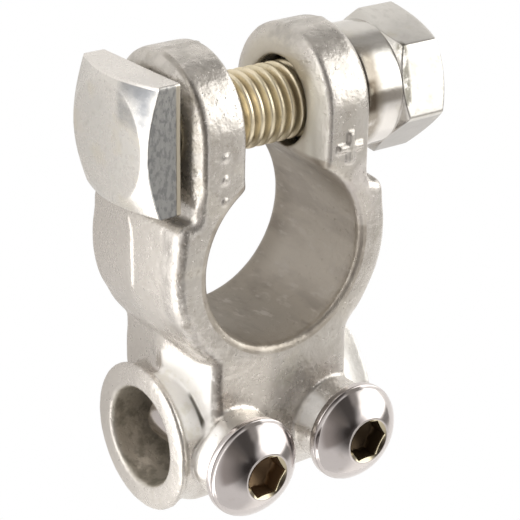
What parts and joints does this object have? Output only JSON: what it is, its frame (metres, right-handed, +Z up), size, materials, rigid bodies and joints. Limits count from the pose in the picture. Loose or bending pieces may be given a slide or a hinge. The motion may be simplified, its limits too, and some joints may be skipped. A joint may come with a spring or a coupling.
{
  "type": "battery terminal clamp",
  "caption": "Cast split-ring clamp for a tapered battery post, closed by a square-head bolt and collared nut, with a round cable barrel pinched by two button-head screws.",
  "frame": {"origin": "on the axis of the battery post bore, in the plane of the casting's flat underside, at the bore's wide end", "axes": "+Z up the post bore's axis towards its narrow end and the screw heads; +X along the clamp bolt from its square head to its nut; +Y from the cable barrel to the clamp bolt"},
  "size_m": [0.0366, 0.0485, 0.0218],
  "materials": {
    "casting": "tinned, as cast, slightly rough",
    "bolt_steel": "zinc plated, sheared edges",
    "nut_steel": "turned and plated, bright",
    "screw_chrome": "polished"
  },
  "bodies": {
    "body": {"clamp_body": "casting"},
    "bolt": {"clamp_bolt": "bolt_steel"},
    "nut": {"clamp_nut": "nut_steel"},
    "screw_left": {"cable_screw_left": "screw_chrome"},
    "screw_right": {"cable_screw_right": "screw_chrome"}
  },
  "joints": [
    {"name": "nut_turn", "type": "hinge", "parent": "body", "child": "nut", "pos_m": [0.0159, 0.01315, 0.00785], "axis": [1, 0, 0], "range_deg": [-252, 1440]},
    {"name": "bolt_slide", "type": "slide", "parent": "body", "child": "bolt", "axis": [-1, 0, 0], "range_m": [-0.00088, 0.00501]},
    {"name": "screw_left_lift", "type": "slide", "parent": "body", "child": "screw_left", "axis": [0, 0, 1], "range_m": [0, 0.009]},
    {"name": "screw_right_lift", "type": "slide", "parent": "body", "child": "screw_right", "axis": [0, 0, 1], "range_m": [0, 0.009]}
  ],
  "couplings": [
    {"joint": "bolt_slide", "follows": "nut_turn", "m_per_rad": 0.00019894}
  ]
}
